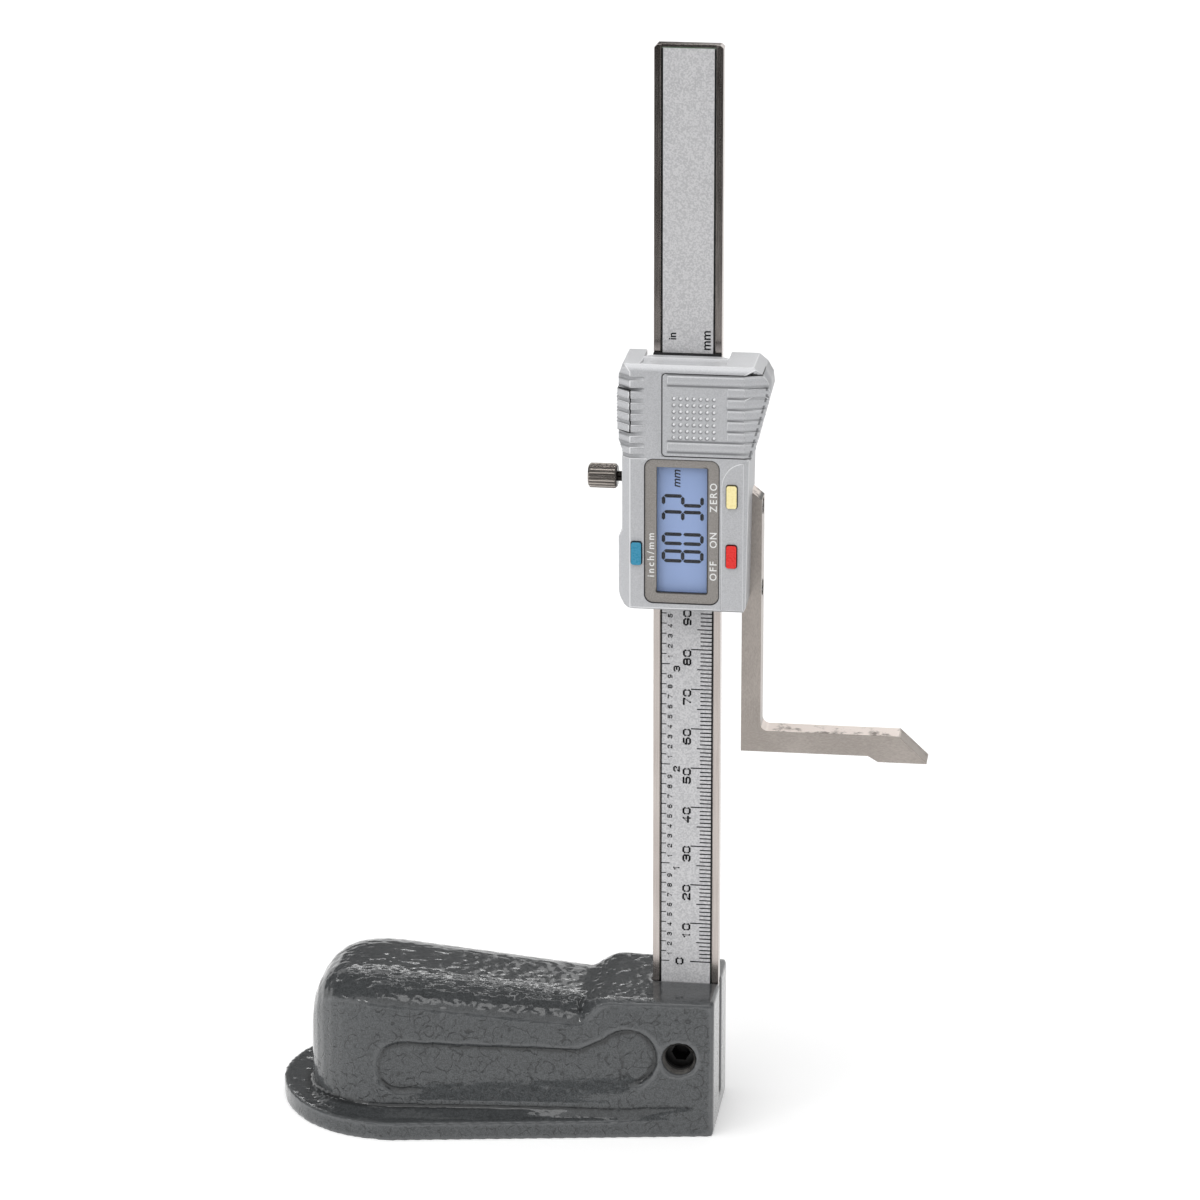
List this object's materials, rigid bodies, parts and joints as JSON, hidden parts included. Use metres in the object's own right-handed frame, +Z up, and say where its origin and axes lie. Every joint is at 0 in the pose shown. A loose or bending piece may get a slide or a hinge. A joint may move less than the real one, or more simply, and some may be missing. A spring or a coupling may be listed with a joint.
{
  "type": "digital height gauge",
  "caption": "Digital height gauge: cast base with hand grip, upright graduated beam, and a sliding readout head with display, buttons, lock screw and a bent scriber.",
  "frame": {"origin": "on the base's flat underside, below the beam's axis", "axes": "+X along the base from its grip towards the scriber's point, +Y away from the reader of the display, +Z up along the beam"},
  "size_m": [0.1581, 0.0561, 0.2656],
  "materials": {
    "cast_paint": "glossy dark grey hammered paint on cast iron",
    "black_oxide": "black oxide",
    "beam_steel": "satin ground stainless steel",
    "scale_foil": "satin printed foil",
    "circuit_board": "green glass epoxy",
    "slide_steel": "ground steel",
    "gib_bronze": "rolled bronze strip",
    "screw_steel": "turned steel",
    "nickel_plate": "nickel plated",
    "silver_plastic": "satin silver coated plastic",
    "bezel_paint": "fine grained grey film",
    "clear_window": "clear",
    "lcd_glass": "blue grey liquid crystal panel",
    "white_plastic": "moulded",
    "zebra_rubber": "layered silicone",
    "black_plastic": "moulded",
    "button_blue": "smooth",
    "button_yellow": "smooth",
    "button_red": "smooth",
    "cell_can": "nickel plated can",
    "contact_brass": "spring brass",
    "scriber_steel": "ground tool steel"
  },
  "bodies": {
    "base": {"base_casting": "cast_paint", "beam_set_screw": "black_oxide", "beam": "beam_steel", "stator_strip": "circuit_board", "scale_label": "scale_foil"},
    "slider": {"slider_frame": "slide_steel", "gib_strip": "gib_bronze", "gib_screws": "screw_steel", "back_plate": "slide_steel", "back_plate_screws": "screw_steel", "housing_screws": "screw_steel", "housing": "silver_plastic", "display_bezel": "bezel_paint", "display_window": "clear_window", "lcd_panel": "lcd_glass", "lcd_holder": "white_plastic", "zebra_strips": "zebra_rubber", "main_board": "circuit_board", "main_board_screws": "screw_steel", "controller_chip": "black_plastic", "tact_switches": "black_plastic", "battery_cell": "cell_can", "battery_contact_positive": "contact_brass", "battery_contact_negative": "contact_brass", "port_contacts": "contact_brass", "scriber": "scriber_steel", "scriber_screws": "screw_steel"},
    "lock_screw": {"lock_screw": "nickel_plate"},
    "button_inch_mm": {"button_inch_mm": "button_blue"},
    "button_zero": {"button_zero": "button_yellow"},
    "button_power": {"button_power": "button_red"},
    "battery_cover": {"battery_cover": "silver_plastic"},
    "port_cover": {"port_cover": "silver_plastic"}
  },
  "joints": [
    {"name": "slider_travel", "type": "slide", "parent": "base", "child": "slider", "axis": [0, 0, 1], "range_m": [-0.094, 0.056]},
    {"name": "lock_turn", "type": "hinge", "parent": "slider", "child": "lock_screw", "pos_m": [-0.02, 0, 0.1619], "axis": [1, 0, 0], "range_deg": [-180, 90]},
    {"name": "inch_mm_press", "type": "slide", "parent": "slider", "child": "button_inch_mm", "axis": [0, 1, 0], "range_m": [0, 0.0005], "stiffness_N_per_m": 400, "springref_m": -0.0005},
    {"name": "zero_press", "type": "slide", "parent": "slider", "child": "button_zero", "axis": [0, 1, 0], "range_m": [0, 0.0005], "stiffness_N_per_m": 400, "springref_m": -0.0005},
    {"name": "power_press", "type": "slide", "parent": "slider", "child": "button_power", "axis": [0, 1, 0], "range_m": [0, 0.0005], "stiffness_N_per_m": 400, "springref_m": -0.0005},
    {"name": "battery_cover_slide", "type": "slide", "parent": "slider", "child": "battery_cover", "axis": [1, 0, 0], "range_m": [0, 0.026]},
    {"name": "port_cover_slide", "type": "slide", "parent": "slider", "child": "port_cover", "axis": [-1, 0, 0], "range_m": [0, 0.008]}
  ]
}
